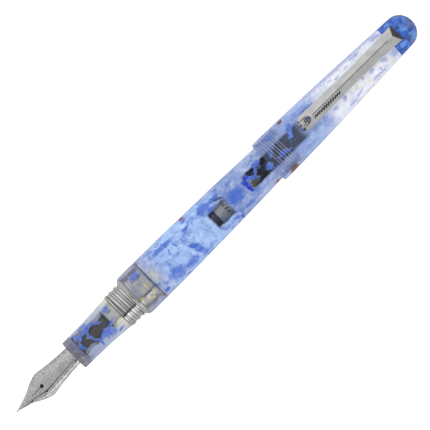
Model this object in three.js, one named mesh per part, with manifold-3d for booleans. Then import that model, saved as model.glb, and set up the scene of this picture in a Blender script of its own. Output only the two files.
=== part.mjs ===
// A posted fountain pen lying on its side: nib and clip face up, and the cap is pushed onto the barrel's end.
// Millimetres. Solids are built about the pen's own axis, with X measured from the nib's tip. The finished
// group has its origin under the middle of the pen, +X towards the cap's dome and +Z up.

import * as THREE from "three";
import { mergeVertices } from "three/addons/utils/BufferGeometryUtils.js";
import Module from "manifold-3d";

// ---------- driving dimensions ----------

const LENGTH = 162; // posted
const MAX_RADIUS = 7.1;
const SIDES = 24; // facets round a turned piece, with one lying flat on the table
const SMALL_SIDES = 12;
const AXIS_HEIGHT = MAX_RADIUS * Math.cos(Math.PI / SIDES);

// Stations along the axis, from the nib's tip.
const GRIP_FRONT = 23.3;
const COLLAR_FRONT = 26.2;
const GRIP_REAR = 41.45;
const RING_REAR = 48.1;
const INSERT_FRONT = 48.4;
const INSERT_REAR = 54.8;
const BARREL_REAR = 129;
const CAP_LIP = 103;
const FINIAL_FRONT = 152.75;
const CLIP_TAIL = 156.1;

const SEAT_GAP = 0.05; // between faces that butt together
const FIT_GAP = 0.1; // round a piece that sits or turns in another

// Nib: [station, half-width, height of its crown above the axis, radius of curvature].
const NIB_OUTLINE = [
  [0.86, 0.36, 1.15, 1.2],
  [3, 0.9, 1.62, 1.9],
  [5.9, 2, 2.2, 2.9],
  [8.8, 3.4, 2.65, 4.5],
  [11.2, 4.14, 2.95, 5.2],
  [13.5, 3.92, 3.12, 4.9],
  [16.4, 3.57, 3.22, 4.6],
  [19.3, 3.3, 3.25, 4.3],
  [23, 3.08, 3.25, 3.9],
  [25.6, 3, 3.25, 3.25],
  [34.5, 3, 3.25, 3.25],
];
const NIB_THICKNESS = 0.3;
const BREATHER_X = 10.6;
const BREATHER_RADIUS = 0.42;
const SLIT_WIDTH = 0.1;

// Feed: [station, half-width, height of its keel above the axis].
const FEED_OUTLINE = [
  [6.2, 0.6, 1.5],
  [9, 1.5, 0.6],
  [12, 2.2, -0.9],
  [14.5, 2.7, -2.3],
  [17, 2.85, -2.85],
  [23, 2.85, -2.85],
  [34.8, 2.85, -2.85],
];
const FEED_SLOTS = 8;
const SLOT_PITCH = 1;

// Threads. The cap's is cut on the steel ring and inside the cap; the joint's holds the section in the barrel.
const CAP_PITCH = 1.8;
const RING_CORE = 5.65;
const RING_CREST = 6.08;
const CAP_GROOVE = 6.35;
const CAP_CREST = 6.03;
const JOINT_PITCH = 1.5;
const TENON_CORE = 4.9;
const TENON_CREST = 5.2;
const INSERT_CREST = 5.3;
const INSERT_GROOVE = 5.55;
const INSERT_OUTER = 6.2;

// Section and converter.
const COLLAR_RADIUS = 4.3;
const COLLAR_REAR = 37.9;
const NIPPLE_RADIUS = 2.1;
const RING_BORE = 3.9;
const TUBE_OUTER = 3.1;
const TUBE_BORE = 2.5;
const TUBE_REAR = 83.5;
const SLEEVE_RADIUS = 3.65;
const SLEEVE_FRONT = 81.7;
const SLEEVE_REAR = 95.9;
const KNOB_REAR = 120.5;
const KNOB_RADIUS = 2.7;
const KNOB_FLUTES = 12;
const SHANK_RADIUS = 2.35;
const PISTON_FRONT = 77.2; // drawn right back
const PISTON_RADIUS = 2.46;
const ROD_RADIUS = 1.15;
const ROD_CREST = 1.35;
const ROD_FLAT = 0.85; // half the thickness across its two flats
const ROD_LEAD = 7.5;
const ROD_REAR = 118.5;

// Cap.
const BORE_RADIUS = 4.85;
const LINER_FRONT = 129.5;
const LINER_REAR = 146.9;
const PLUG_FRONT = 149.8;

// Clip: [station, half-width, underside above the axis, ridge above the axis].
const CLIP_OUTLINE = [
  [117, 1.5, 7.9, 9.2],
  [117.4, 1.95, 7.75, 9.4],
  [118.3, 2.35, 7.6, 9.6],
  [121, 2.42, 7.6, 9.5],
  [124, 2.35, 7.95, 9.3],
  [135, 2.1, 7.45, 8.85],
  [148, 2.2, 6.85, 8.2],
  [153, 2.5, 6.6, 7.95],
  [CLIP_TAIL, 2.75, 6.4, 7.8],
];
const CLIP_FALL = 0.6; // from the ridge to the long edges
const HIP_FRONT = 154.3; // where the ridge ends and the tail's sloping end begins
const ROLLER_X = 118.1;
const ROLLER_Z = 8.5;
const ROLLER_RADIUS = 1.6;
const ROLLER_WIDTH = 1.9;
const PIN_RADIUS = 0.4;
const FORK_END = 120.5; // the round inner end of the slot that the roller runs in

// ---------- materials ----------

const finish = (color, roughness, metalness) => new THREE.MeshStandardMaterial({ color, roughness, metalness });
const resin = finish(0x8fa8e6, 0.12, 0);
const deepResin = finish(0x3c5fc0, 0.12, 0);
const clearResin = finish(0xa9b6d8, 0.12, 0);
const steel = finish(0xc6c6c6, 0.18, 1);
const nibSteel = finish(0xb4b4b2, 0.22, 1);
const blackPlating = finish(0x3a3635, 0.15, 1);
const blackPlastic = finish(0x1d1a1a, 0.4, 0);
const clearPlastic = finish(0xdfe7ec, 0.1, 0);
const linerPlastic = finish(0xb9bcc6, 0.5, 0);
const rubber = finish(0x141414, 0.8, 0);

// ---------- solids ----------

const wasm = await Module();
wasm.setup();

// A three.js geometry as a manifold-3d solid.
function solidOf(geometry) {
  const bare = new THREE.BufferGeometry();
  bare.setAttribute("position", geometry.getAttribute("position"));
  bare.setIndex(geometry.index);
  const merged = mergeVertices(bare, 1e-4);
  const index = merged.index.array;
  const triangles = [];
  for (let i = 0; i < index.length; i += 3) {
    const [a, b, c] = index.slice(i, i + 3);
    if (a !== b && b !== c && c !== a) triangles.push(a, b, c);
  }
  return new wasm.Manifold(
    new wasm.Mesh({
      numProp: 3,
      vertProperties: merged.getAttribute("position").array,
      triVerts: new Uint32Array(triangles),
    }),
  );
}

// A manifold-3d solid as a three.js geometry.
function geometryOf(solid) {
  const { vertProperties, triVerts } = solid.getMesh();
  const geometry = new THREE.BufferGeometry();
  geometry.setAttribute("position", new THREE.BufferAttribute(vertProperties, 3));
  geometry.setIndex(new THREE.BufferAttribute(triVerts, 1));
  return geometry;
}

// A body of revolution about X. The outline is [station, radius] pairs: out along the outside, back along the bore.
function turned(outline, sides = SIDES) {
  const closed = outline[0][1] === 0 ? outline : [...outline, outline[0]];
  const points = closed.map(([x, r]) => new THREE.Vector2(r, x));
  return solidOf(new THREE.LatheGeometry(points, sides, Math.PI / sides).rotateZ(-Math.PI / 2));
}

function box(x0, x1, y0, y1, z0, z1) {
  const geometry = new THREE.BoxGeometry(x1 - x0, y1 - y0, z1 - z0);
  return solidOf(geometry.translate((x0 + x1) / 2, (y0 + y1) / 2, (z0 + z1) / 2));
}

// A cylinder along Y, centred on y = 0.
function crossPin(x, z, radius, length, sides = SMALL_SIDES) {
  return solidOf(new THREE.CylinderGeometry(radius, radius, length, sides).translate(x, 0, z));
}

// A skin over a row of rings. Each ring lists its points across the top and back across the underside.
function skin(rings) {
  const size = rings[0].length;
  const index = [];
  for (let i = 0; i < rings.length - 1; i++) {
    for (let j = 0; j < size; j++) {
      const a = i * size + j;
      const b = i * size + ((j + 1) % size);
      index.push(a, a + size, b, b, a + size, b + size);
    }
  }
  const last = (rings.length - 1) * size;
  for (let j = 0; j < size / 2 - 1; j++) {
    const opposite = size - 1 - j;
    index.push(j, j + 1, opposite, j + 1, opposite - 1, opposite);
    index.push(last + j, last + opposite, last + j + 1, last + j + 1, last + opposite, last + opposite - 1);
  }
  const geometry = new THREE.BufferGeometry();
  geometry.setAttribute("position", new THREE.Float32BufferAttribute(rings.flat(2), 3));
  geometry.setIndex(index);
  return solidOf(geometry);
}

// A right-handed helix about X, whose frames point straight out from the axis.
class Helix extends THREE.Curve {
  constructor(radius, start, lead, turns, phase) {
    super();
    Object.assign(this, { radius, start, lead, turns, phase });
  }

  angleAt(t) {
    return this.phase + 2 * Math.PI * this.turns * t;
  }

  getPointAt(t) {
    const angle = this.angleAt(t);
    const x = this.start + this.lead * this.turns * t;
    return new THREE.Vector3(x, this.radius * Math.cos(angle), this.radius * Math.sin(angle));
  }

  computeFrenetFrames(segments) {
    const frames = { tangents: [], normals: [], binormals: [] };
    for (let i = 0; i <= segments; i++) {
      const angle = this.angleAt(i / segments);
      frames.tangents.push(new THREE.Vector3(0, -Math.sin(angle), Math.cos(angle)));
      frames.normals.push(new THREE.Vector3(0, Math.cos(angle), Math.sin(angle)));
      frames.binormals.push(new THREE.Vector3(-1, 0, 0));
    }
    return frames;
  }
}

// A helical thread ridge from its buried foot to its crest. A foot outside the crest makes an internal thread.
function ridge({ foot, crest, pitch, start, turns, sides = SIDES }) {
  const height = crest - foot;
  const corners = [
    [0, -0.42 * pitch],
    [height, -0.14 * pitch],
    [height, 0.14 * pitch],
    [0, 0.42 * pitch],
  ];
  const shape = new THREE.Shape(corners.map(([x, y]) => new THREE.Vector2(x, y)));
  const extrudePath = new Helix(foot, start, pitch, turns, Math.PI / sides);
  return solidOf(new THREE.ExtrudeGeometry(shape, { steps: Math.round(turns * sides), extrudePath }));
}

// The row of a table at a station, worked out between its neighbours.
function rowAt(table, x) {
  const next = Math.max(1, table.findIndex((row) => row[0] >= x));
  const [low, high] = [table[next - 1], table[next]];
  const share = (x - low[0]) / (high[0] - low[0]);
  return low.map((value, i) => value + (high[i] - value) * share);
}

// ---------- shell outlines ----------

const barrelRadius = (x) => MAX_RADIUS - 0.00109 * (x - 52) ** 1.75;
const capRadius = (x) => MAX_RADIUS - 0.0077 * (x - 105) ** 1.4;

// Evenly spaced [station, radius] pairs of a taper.
function taper(radiusAt, from, to, count) {
  return Array.from({ length: count + 1 }, (_, i) => {
    const x = from + ((to - from) * i) / count;
    return [x, radiusAt(x)];
  });
}

// A quarter ellipse that closes an outline onto the axis.
function dome(from, to, radius, count) {
  return Array.from({ length: count }, (_, i) => {
    const angle = ((i + 1) / count) * (Math.PI / 2);
    return [from + (to - from) * Math.sin(angle), i === count - 1 ? 0 : radius * Math.cos(angle)];
  });
}

// ---------- nib section ----------

const NIB_HALF_STEPS = 6;

// One ring of the nib's sheet, between two depths below its outer surface.
function nibRing([x, halfWidth, crown, radius], top, bottom) {
  const halfAngle = Math.asin(halfWidth / radius);
  const arc = (depth, sign) =>
    Array.from({ length: 2 * NIB_HALF_STEPS + 1 }, (_, i) => {
      const angle = sign * halfAngle * (i / NIB_HALF_STEPS - 1);
      const r = radius - depth;
      return [x, r * Math.sin(angle), crown - radius + r * Math.cos(angle)];
    });
  return [...arc(top, 1), ...arc(bottom, -1)];
}

function nib() {
  const sheet = skin(NIB_OUTLINE.map((row) => nibRing(row, 0, NIB_THICKNESS)));
  const hole = new THREE.CylinderGeometry(BREATHER_RADIUS, BREATHER_RADIUS, 6, SMALL_SIDES);
  const breather = solidOf(hole.rotateX(Math.PI / 2).translate(BREATHER_X, 0, 3));
  const slit = box(0, BREATHER_X, -SLIT_WIDTH / 2, SLIT_WIDTH / 2, 0, 6);
  return sheet.subtract(breather).subtract(slit);
}

function nibTipping() {
  const pellet = new THREE.SphereGeometry(1, 10, 6).scale(0.41, 0.33, 0.36);
  return solidOf(pellet.translate(0.41, 0, 0.92));
}

// One ring of the feed: its top follows the nib's underside, and its keel is half an ellipse.
function feedRing([x, halfWidth, keel]) {
  const [, , crown, radius] = rowAt(NIB_OUTLINE, Math.min(x, 34.4));
  const inner = radius - NIB_THICKNESS - SEAT_GAP;
  const topAt = (y) => crown - radius + Math.sqrt(inner * inner - y * y);
  const edge = topAt(halfWidth);
  const across = Array.from({ length: 9 }, (_, i) => Math.sin(((i / 8 - 0.5) * Math.PI)));
  const top = across.map((share) => [x, halfWidth * share, topAt(halfWidth * share)]);
  const bottom = across.map((share) => [x, -halfWidth * share, edge + (keel - edge) * Math.sqrt(1 - share * share)]);
  return [...top, ...bottom];
}

function feed() {
  const fine = [...FEED_OUTLINE, [8, 0], [10.4, 0], [19.3, 0], [21, 0], [25.6, 0]].sort((a, b) => a[0] - b[0]);
  let body = skin(fine.map(([x]) => feedRing(rowAt(FEED_OUTLINE, x))));
  const lowerHalf = box(13, 24, -4, 4, -4, 0.5);
  for (let i = 0; i < FEED_SLOTS; i++) {
    const x = 14.6 + i * SLOT_PITCH;
    const slot = turned([[x, 1.9], [x, 3.6], [x + 0.4, 3.6], [x + 0.4, 1.9]], 16);
    body = body.subtract(slot.intersect(lowerHalf));
  }
  return body;
}

function nibCollar() {
  return turned([
    [COLLAR_FRONT, 3.45],
    [COLLAR_FRONT, COLLAR_RADIUS],
    [COLLAR_REAR, COLLAR_RADIUS],
    [COLLAR_REAR, NIPPLE_RADIUS],
    [46.7, NIPPLE_RADIUS],
    [47, 1.8],
    [47, 0.9],
    [35, 0.9],
    [35, 3.45],
  ]);
}

function grip() {
  const frontBore = 3.6;
  return turned([
    [GRIP_FRONT, frontBore],
    [GRIP_FRONT, 4.6],
    [GRIP_FRONT + 0.15, 4.87],
    [GRIP_FRONT + 0.45, 4.98],
    [29, 5.03],
    [32, 5.08],
    [35, 5.22],
    [38, 5.45],
    [GRIP_REAR, 5.7],
    [GRIP_REAR, COLLAR_RADIUS + FIT_GAP],
    [COLLAR_FRONT - SEAT_GAP, COLLAR_RADIUS + FIT_GAP],
    [COLLAR_FRONT - SEAT_GAP, frontBore],
  ]);
}

function threadRing() {
  const front = GRIP_REAR + SEAT_GAP;
  const body = turned([
    [COLLAR_REAR + 0.2, RING_BORE],
    [COLLAR_REAR + 0.2, COLLAR_RADIUS],
    [front, COLLAR_RADIUS],
    [front, 5.78],
    [front + 0.15, 5.97],
    [42.3, 5.97],
    [42.55, RING_CORE],
    [46.6, RING_CORE],
    [46.8, 6.1],
    [47.85, 6.97],
    [RING_REAR, 6.97],
    [RING_REAR, TENON_CORE],
    [54.3, TENON_CORE],
    [54.55, TENON_CORE - 0.25],
    [54.55, RING_BORE],
  ]);
  const capThread = ridge({ foot: RING_CORE - 0.15, crest: RING_CREST, pitch: CAP_PITCH, start: 43.05, turns: 1.75 });
  const jointThread = ridge({ foot: TENON_CORE - 0.15, crest: TENON_CREST, pitch: JOINT_PITCH, start: 49.3, turns: 3 });
  return body.add(capThread).add(jointThread);
}

// ---------- barrel ----------

function barrel() {
  const front = RING_REAR + SEAT_GAP;
  const socket = INSERT_OUTER + FIT_GAP;
  const bore = 4.5;
  const boreRear = 121;
  const domeFront = 122;
  return turned([
    [front, socket],
    [front, MAX_RADIUS - 0.2],
    [front + 0.25, MAX_RADIUS],
    [55, MAX_RADIUS],
    ...taper(barrelRadius, 62, domeFront, 8),
    ...dome(domeFront, BARREL_REAR, barrelRadius(domeFront), 5),
    [boreRear + 2.4, 0],
    [boreRear + 1.6, bore * 0.7],
    [boreRear, bore],
    [INSERT_REAR + SEAT_GAP, bore],
    [INSERT_REAR + SEAT_GAP, socket],
  ]);
}

function barrelInsert() {
  const sleeve = turned([
    [INSERT_FRONT, INSERT_GROOVE],
    [INSERT_FRONT, INSERT_OUTER],
    [INSERT_REAR, INSERT_OUTER],
    [INSERT_REAR, INSERT_GROOVE],
  ]);
  const foot = INSERT_GROOVE + 0.15;
  const thread = ridge({ foot, crest: INSERT_CREST, pitch: JOINT_PITCH, start: 50.05, turns: 2.5 });
  return sleeve.add(thread);
}

// ---------- converter ----------

function converterMouth() {
  return turned([
    [43.6, NIPPLE_RADIUS + FIT_GAP],
    [43.6, RING_BORE - 0.3],
    [43.9, RING_BORE - FIT_GAP],
    [50, RING_BORE - FIT_GAP],
    [50, TUBE_OUTER + FIT_GAP],
    [48, TUBE_OUTER + FIT_GAP],
    [48, NIPPLE_RADIUS + FIT_GAP],
  ]);
}

function converterTube() {
  const front = 48 + SEAT_GAP;
  return turned([[front, TUBE_BORE], [front, TUBE_OUTER], [TUBE_REAR, TUBE_OUTER], [TUBE_REAR, TUBE_BORE]]);
}

function converterSleeve() {
  const wallFront = 86.8;
  const wallRear = 89.2;
  const guide = ROD_CREST + FIT_GAP;
  const sleeve = turned([
    [SLEEVE_FRONT, TUBE_OUTER + FIT_GAP],
    [SLEEVE_FRONT, SLEEVE_RADIUS],
    [SLEEVE_REAR, SLEEVE_RADIUS],
    [SLEEVE_REAR, SHANK_RADIUS + FIT_GAP],
    [wallRear, SHANK_RADIUS + FIT_GAP],
    [wallRear, guide],
    [wallFront, guide],
    [wallFront, TUBE_OUTER + FIT_GAP],
  ]);
  const flat = ROD_FLAT + 0.08;
  const upperFlat = box(wallFront, wallRear, -1.3, 1.3, flat, guide + 0.1);
  const lowerFlat = box(wallFront, wallRear, -1.3, 1.3, -guide - 0.1, -flat);
  return sleeve.add(upperFlat).add(lowerFlat);
}

function converterKnob() {
  const front = SLEEVE_REAR + 0.2;
  const rim = Array.from({ length: 2 * KNOB_FLUTES }, (_, i) => {
    const angle = ((i + 0.5) * Math.PI) / KNOB_FLUTES;
    const r = i % 2 ? KNOB_RADIUS - 0.22 : KNOB_RADIUS;
    return new THREE.Vector2(r * Math.cos(angle), r * Math.sin(angle));
  });
  const grooved = new THREE.ExtrudeGeometry(new THREE.Shape(rim), {
    depth: KNOB_REAR - front - 0.4,
    bevelEnabled: false,
  });
  const handle = solidOf(grooved.rotateY(Math.PI / 2).translate(front, 0, 0));
  const shank = turned([[89.4, 0], [89.4, SHANK_RADIUS], [front + 0.5, SHANK_RADIUS], [front + 0.5, 0]]);
  const end = turned([[119, 0], [119, 2.4], [KNOB_REAR - 0.2, 2.4], [KNOB_REAR, 2.1], [KNOB_REAR, 0]]);
  const bore = turned([[89, 0], [89, ROD_CREST + 0.15], [119.3, ROD_CREST + 0.15], [119.3, 0]]);
  return handle.add(shank).add(end).subtract(bore);
}

function pistonHead() {
  const radius = PISTON_RADIUS - 0.06;
  return turned([
    [PISTON_FRONT, 0],
    [PISTON_FRONT, radius - 0.25],
    [PISTON_FRONT + 0.25, radius],
    [78, radius],
    [78, 1.6],
    [80.2, 1.6],
    [80.2, radius],
    [81, radius],
    [81, 0],
  ]);
}

function pistonSeal() {
  return turned([
    [78.08, 1.7],
    [78.08, PISTON_RADIUS],
    [78.5, PISTON_RADIUS],
    [78.7, 2.2],
    [79.5, 2.2],
    [79.7, PISTON_RADIUS],
    [80.12, PISTON_RADIUS],
    [80.12, 1.7],
  ]);
}

function pistonRod() {
  const front = 81 + SEAT_GAP;
  const core = turned([[front, 0], [front, ROD_RADIUS], [ROD_REAR, ROD_RADIUS], [ROD_REAR, 0]], SMALL_SIDES);
  const turns = 4.5;
  const start = 84;
  const thread = ridge({
    foot: ROD_RADIUS - 0.15,
    crest: ROD_CREST,
    pitch: ROD_LEAD,
    start: start,
    turns: turns,
    sides: SMALL_SIDES,
  });
  const flats = box(front - 1, ROD_REAR, -2, 2, -ROD_FLAT, ROD_FLAT);
  return core.add(thread).intersect(flats);
}

// ---------- cap ----------

function capTube() {
  const rear = FINIAL_FRONT - SEAT_GAP;
  const body = turned([
    [CAP_LIP, CAP_GROOVE + 0.05],
    [CAP_LIP, 6.8],
    [CAP_LIP + 0.25, 7.02],
    [CAP_LIP + 0.6, MAX_RADIUS],
    [107, MAX_RADIUS],
    ...taper(capRadius, 110.6, rear, 9),
    [rear, BORE_RADIUS],
    [129.2, BORE_RADIUS],
    [129.2, 5.35],
    [110.6, 5.84],
    [110.6, CAP_GROOVE],
  ]);
  const thread = ridge({ foot: CAP_GROOVE + 0.15, crest: CAP_CREST, pitch: CAP_PITCH, start: 104.9, turns: 2.75 });
  const slot = box(150, 152, -1.3, 1.3, BORE_RADIUS - 0.4, MAX_RADIUS);
  return body.add(thread).subtract(slot);
}

function innerCap() {
  const outer = BORE_RADIUS - FIT_GAP;
  return turned([
    [LINER_FRONT, 4.2],
    [LINER_FRONT, outer],
    [LINER_REAR, outer],
    [LINER_REAR, 0],
    [LINER_REAR - 0.9, 0],
    [LINER_REAR - 0.9, 3.9],
    [LINER_REAR - 1.3, 4.2],
  ]);
}

function finialScrew() {
  const head = turned([
    [147.5, 0],
    [147.5, 2.4],
    [147.7, 2.6],
    [148.7, 2.6],
    [148.7, 1.25],
    [154.5, 1.25],
    [154.5, 0],
  ]);
  return head.subtract(box(147, 148, -3, 3, -0.3, 0.3));
}

function capWasher() {
  const outer = BORE_RADIUS - FIT_GAP;
  return turned([[148.8, 1.4], [148.8, outer], [149.6, outer], [149.6, 1.4]]);
}

function capFinial() {
  const domeFront = 157.3;
  return turned([
    [154.8, 0],
    [154.8, 1.35],
    [PLUG_FRONT, 1.35],
    [PLUG_FRONT, BORE_RADIUS - FIT_GAP],
    [FINIAL_FRONT, BORE_RADIUS - FIT_GAP],
    ...taper(capRadius, FINIAL_FRONT, domeFront, 2),
    ...dome(domeFront, LENGTH, capRadius(domeFront), 6),
  ]);
}

// ---------- clip ----------

// One ring of the clip's blade: two flats that meet on a ridge, over a flat underside.
function clipRing([x, halfWidth, underside, ridgeTop]) {
  const edge = ridgeTop - CLIP_FALL;
  const top = [[x, -halfWidth, edge], [x, 0, ridgeTop], [x, halfWidth, edge]];
  const bottom = [[x, halfWidth, underside], [x, 0, underside], [x, -halfWidth, underside]];
  return [...top, ...bottom];
}

function clip() {
  const blade = skin(CLIP_OUTLINE.map(clipRing));
  const leg = box(150.3, 151.7, -1, 1, BORE_RADIUS + 0.05, 7.2);
  const half = ROLLER_WIDTH / 2 + FIT_GAP;
  const round = new THREE.CylinderGeometry(half, half, 4, 16).rotateX(Math.PI / 2);
  const slot = box(116, FORK_END - half, -half, half, 6, 11);
  const fork = slot.add(solidOf(round.translate(FORK_END - half, 0, 8.5)));
  const pinHole = crossPin(ROLLER_X, ROLLER_Z, PIN_RADIUS + SEAT_GAP, 6);
  const slope = new THREE.Shape([
    new THREE.Vector2(HIP_FRONT, 7.89),
    new THREE.Vector2(CLIP_TAIL + 0.1, 6.95),
    new THREE.Vector2(CLIP_TAIL + 0.1, 9),
    new THREE.Vector2(HIP_FRONT, 9),
  ]);
  const hip = new THREE.ExtrudeGeometry(slope, { depth: 8, bevelEnabled: false });
  const aboveHip = solidOf(hip.rotateX(Math.PI / 2).translate(0, 4, 0));
  return blade.add(leg).subtract(fork).subtract(pinHole).subtract(aboveHip);
}

function clipRoller() {
  const wheel = crossPin(ROLLER_X, ROLLER_Z, ROLLER_RADIUS, ROLLER_WIDTH, 16);
  return wheel.subtract(crossPin(ROLLER_X, ROLLER_Z, PIN_RADIUS + SEAT_GAP, 4));
}

function rollerPin() {
  return crossPin(ROLLER_X, ROLLER_Z, PIN_RADIUS, 4.2);
}

// ---------- assembly ----------

const group = new THREE.Group();

function add(name, solid, material) {
  const geometry = geometryOf(solid).translate(-LENGTH / 2, 0, AXIS_HEIGHT);
  geometry.computeVertexNormals();
  const mesh = new THREE.Mesh(geometry, material);
  mesh.name = name;
  group.add(mesh);
}

add("nib", nib(), nibSteel);
add("nib_tipping", nibTipping(), steel);
add("feed", feed(), blackPlastic);
add("nib_collar", nibCollar(), blackPlating);
add("grip", grip(), clearResin);
add("thread_ring", threadRing(), steel);

add("barrel", barrel(), resin);
add("barrel_insert", barrelInsert(), steel);

add("converter_mouth", converterMouth(), blackPlastic);
add("converter_tube", converterTube(), clearPlastic);
add("converter_sleeve", converterSleeve(), steel);
add("converter_knob", converterKnob(), blackPlastic);
add("piston_head", pistonHead(), blackPlastic);
add("piston_seal", pistonSeal(), rubber);
add("piston_rod", pistonRod(), blackPlastic);

add("cap_tube", capTube(), resin);
add("inner_cap", innerCap(), linerPlastic);
add("cap_washer", capWasher(), steel);
add("finial_screw", finialScrew(), steel);
add("cap_finial", capFinial(), deepResin);

add("clip", clip(), steel);
add("clip_roller", clipRoller(), steel);
add("roller_pin", rollerPin(), steel);

export default group;
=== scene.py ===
"""The looks of a posted fountain pen in marbled resin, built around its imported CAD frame."""

import math

import bmesh
import bpy
from mathutils import Matrix, Vector


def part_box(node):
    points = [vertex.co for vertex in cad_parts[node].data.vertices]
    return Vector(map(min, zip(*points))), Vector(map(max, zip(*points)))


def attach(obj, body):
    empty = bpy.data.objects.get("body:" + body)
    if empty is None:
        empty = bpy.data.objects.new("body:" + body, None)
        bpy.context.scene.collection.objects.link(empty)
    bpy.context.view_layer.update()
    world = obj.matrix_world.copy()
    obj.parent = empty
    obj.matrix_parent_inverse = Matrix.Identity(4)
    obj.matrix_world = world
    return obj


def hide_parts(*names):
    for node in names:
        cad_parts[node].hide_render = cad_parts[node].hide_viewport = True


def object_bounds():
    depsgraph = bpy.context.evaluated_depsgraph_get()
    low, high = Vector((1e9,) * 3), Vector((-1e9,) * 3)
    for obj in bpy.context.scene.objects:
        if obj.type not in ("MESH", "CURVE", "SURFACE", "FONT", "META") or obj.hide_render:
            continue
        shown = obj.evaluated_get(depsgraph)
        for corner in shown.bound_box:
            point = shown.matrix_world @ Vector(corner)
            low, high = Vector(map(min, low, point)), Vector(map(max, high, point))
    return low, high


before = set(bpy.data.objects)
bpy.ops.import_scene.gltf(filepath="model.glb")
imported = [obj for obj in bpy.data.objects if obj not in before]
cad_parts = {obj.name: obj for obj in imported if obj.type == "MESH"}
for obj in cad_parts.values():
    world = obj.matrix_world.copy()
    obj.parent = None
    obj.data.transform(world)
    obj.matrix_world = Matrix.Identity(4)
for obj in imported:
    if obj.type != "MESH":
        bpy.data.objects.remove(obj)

cad_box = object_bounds()

# ---------------- the frame's measures

# Stations are mm from the nib's tip along the pen. Heights are mm above the pen's axis.
MM = 0.001
CAD_SIDES = 24
TIP_X = cad_box[0].x
barrel_low, barrel_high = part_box("barrel")
AXIS_Z = (barrel_low.z + barrel_high.z) / 2


def span(node):
    """A node's first and last station."""
    low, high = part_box(node)
    return (low.x - TIP_X) / MM, (high.x - TIP_X) / MM


def centre(node):
    """The station and height of a node's middle."""
    low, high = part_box(node)
    middle = (low + high) / 2
    return (middle.x - TIP_X) / MM, (middle.z - AXIS_Z) / MM


def radius(node):
    """A turned node's largest radius in mm. The CAD has flat sides, so its box is a little narrower."""
    low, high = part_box(node)
    return (high.y - low.y) / 2 / MM / math.cos(math.pi / CAD_SIDES)


def place(s, y, z):
    """A point in the frame, from its station, distance across and height."""
    return (TIP_X + s * MM, y * MM, AXIS_Z + z * MM)


def linear(r, g, b):
    """A colour from sRGB 0-255 to scene linear with alpha 1."""
    def channel(c):
        c /= 255
        return c / 12.92 if c <= 0.04045 else ((c + 0.055) / 1.055) ** 2.4
    return (channel(r), channel(g), channel(b), 1.0)


def smooth(x, low, high):
    t = min(1, max(0, (x - low) / (high - low)))
    return t * t * (3 - 2 * t)


def between(rows, s):
    """The values of an outline's rows at a station, on straight lines from row to row."""
    i = next((k for k in range(1, len(rows)) if s <= rows[k][0]), len(rows) - 1)
    before, after = rows[i - 1], rows[i]
    t = (s - before[0]) / (after[0] - before[0])
    return [p + (q - p) * t for p, q in zip(before[1:], after[1:])]


# ---------------- materials


class Nodes:
    """Short calls for the shader nodes of one tree."""

    def __init__(self, tree):
        self.tree = tree

    def join(self, socket, value):
        if isinstance(value, bpy.types.NodeSocket):
            self.tree.links.new(value, socket)
        else:
            socket.default_value = value

    def node(self, kind, *inputs, out=0, named=None, **settings):
        made = self.tree.nodes.new("ShaderNode" + kind)
        for key, value in settings.items():
            setattr(made, key, value)
        for index, value in enumerate(inputs):
            if value is not None:
                self.join(made.inputs[index], value)
        for key, value in (named or {}).items():
            self.join(made.inputs[key], value)
        return made.outputs[out]

    def math(self, operation, a, b=None, clamp=False):
        return self.node("Math", a, b, operation=operation, use_clamp=clamp)

    def times(self, a, b, clamp=False):
        return self.math("MULTIPLY", a, b, clamp)

    def most(self, a, b):
        return self.math("MAXIMUM", a, b)

    def apart(self, a, b):
        return self.math("ABSOLUTE", self.math("SUBTRACT", a, b))

    def vector(self, operation, a, b=None, out=0):
        return self.node("VectorMath", a, b, operation=operation, out=out)

    def split(self, vector):
        parts = self.tree.nodes.new("ShaderNodeSeparateXYZ")
        self.join(parts.inputs[0], vector)
        return parts.outputs

    def step(self, value, low, high, start=0.0, end=1.0):
        return self.node("MapRange", value, low, high, start, end, interpolation_type="SMOOTHSTEP")

    def lerp(self, factor, a, b):
        return self.node("MapRange", factor, 0.0, 1.0, a, b)

    def along(self, value, stops):
        """A colour (sRGB 0-255) or a number that changes from stop to stop: (value, colour or number)."""
        first, last = stops[0][0], stops[-1][0]
        ramp = self.tree.nodes.new("ShaderNodeValToRGB")
        self.join(ramp.inputs[0], self.node("MapRange", value, first, last))
        marks = ramp.color_ramp.elements
        for index, (at, tone) in enumerate(stops):
            share = (at - first) / (last - first)
            mark = marks[index] if index < 2 else marks.new(share)
            mark.position = share
            mark.color = linear(*tone) if isinstance(tone, tuple) else (tone, tone, tone, 1)
        return ramp.outputs[0]


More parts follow.
